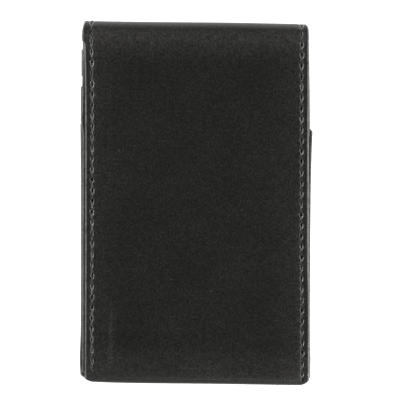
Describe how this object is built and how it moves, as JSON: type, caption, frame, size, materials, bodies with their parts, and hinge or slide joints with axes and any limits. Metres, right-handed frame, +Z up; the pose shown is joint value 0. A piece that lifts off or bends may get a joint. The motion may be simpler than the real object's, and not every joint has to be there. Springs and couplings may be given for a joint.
{
  "type": "money clip wallet",
  "caption": "Slim bi-fold leather wallet with turned-in card pockets, card slots and a spring-loaded steel bail that clips folded banknotes inside the fold.",
  "frame": {"origin": "middle of the footprint, on the surface that the closed wallet's back cover lies on", "axes": "+X across the width, +Y along the length towards the spine, +Z up through the thickness"},
  "size_m": [0.0708, 0.111, 0.01],
  "materials": {
    "cover_leather": "smooth black full-grain leather, satin, fine grain, burnished edges",
    "lining_leather": "thin black leather, matt satin, burnished edges",
    "seam_thread": "waxed two-ply black thread with a slight sheen",
    "clip_steel": "fine brushed, polished edges",
    "spring_steel": "hardened and blued grey, satin",
    "rivet_brass": "polished heads, lightly tarnished"
  },
  "bodies": {
    "back_half": {"back_cover": "cover_leather", "back_lining": "lining_leather", "clip_channel": "clip_steel", "clip_leaf_spring": "spring_steel", "back_seam_thread_left": "seam_thread", "back_seam_thread_right": "seam_thread", "clip_rivet_left": "rivet_brass", "clip_rivet_right": "rivet_brass", "clip_washer_left": "rivet_brass", "clip_washer_right": "rivet_brass"},
    "lower_spine": {"spine_lower": "cover_leather", "spine_lower_seam_thread_left": "seam_thread", "spine_lower_seam_thread_right": "seam_thread"},
    "middle_spine": {"spine_middle": "cover_leather", "spine_middle_seam_thread_left": "seam_thread", "spine_middle_seam_thread_right": "seam_thread"},
    "upper_spine": {"spine_upper": "cover_leather", "spine_upper_seam_thread_left": "seam_thread", "spine_upper_seam_thread_right": "seam_thread"},
    "front_half": {"front_cover": "cover_leather", "front_lining": "lining_leather", "front_card_slot_upper": "lining_leather", "front_card_slot_lower": "lining_leather", "front_seam_thread_left": "seam_thread", "front_seam_thread_right": "seam_thread"},
    "bail": {"clip_bail": "clip_steel", "clip_pin_left": "clip_steel", "clip_pin_right": "clip_steel"}
  },
  "joints": [
    {"name": "spine_back_crease", "type": "hinge", "parent": "back_half", "child": "lower_spine", "pos_m": [0, 0.05246, 0.00026], "axis": [-1, 0, 0], "range_deg": [0, 45]},
    {"name": "spine_lower_crease", "type": "hinge", "parent": "lower_spine", "child": "middle_spine", "pos_m": [0, 0.05524, 0.00304], "axis": [-1, 0, 0], "range_deg": [0, 45]},
    {"name": "spine_upper_crease", "type": "hinge", "parent": "middle_spine", "child": "upper_spine", "pos_m": [0, 0.05524, 0.00696], "axis": [-1, 0, 0], "range_deg": [0, 45]},
    {"name": "spine_front_crease", "type": "hinge", "parent": "upper_spine", "child": "front_half", "pos_m": [0, 0.05246, 0.00974], "axis": [-1, 0, 0], "range_deg": [0, 45]},
    {"name": "clip_swing", "type": "hinge", "parent": "back_half", "child": "bail", "pos_m": [0, 0.0457, 0.0041], "axis": [-1, 0, 0], "range_deg": [0, 90], "deforming": ["clip_leaf_spring"]}
  ],
  "couplings": [
    {"joint": "spine_lower_crease", "follows": "spine_back_crease", "ratio": 1},
    {"joint": "spine_upper_crease", "follows": "spine_back_crease", "ratio": 1},
    {"joint": "spine_front_crease", "follows": "spine_back_crease", "ratio": 1},
    {"joint": "clip_swing", "follows": "spine_back_crease", "ratio": 2}
  ]
}
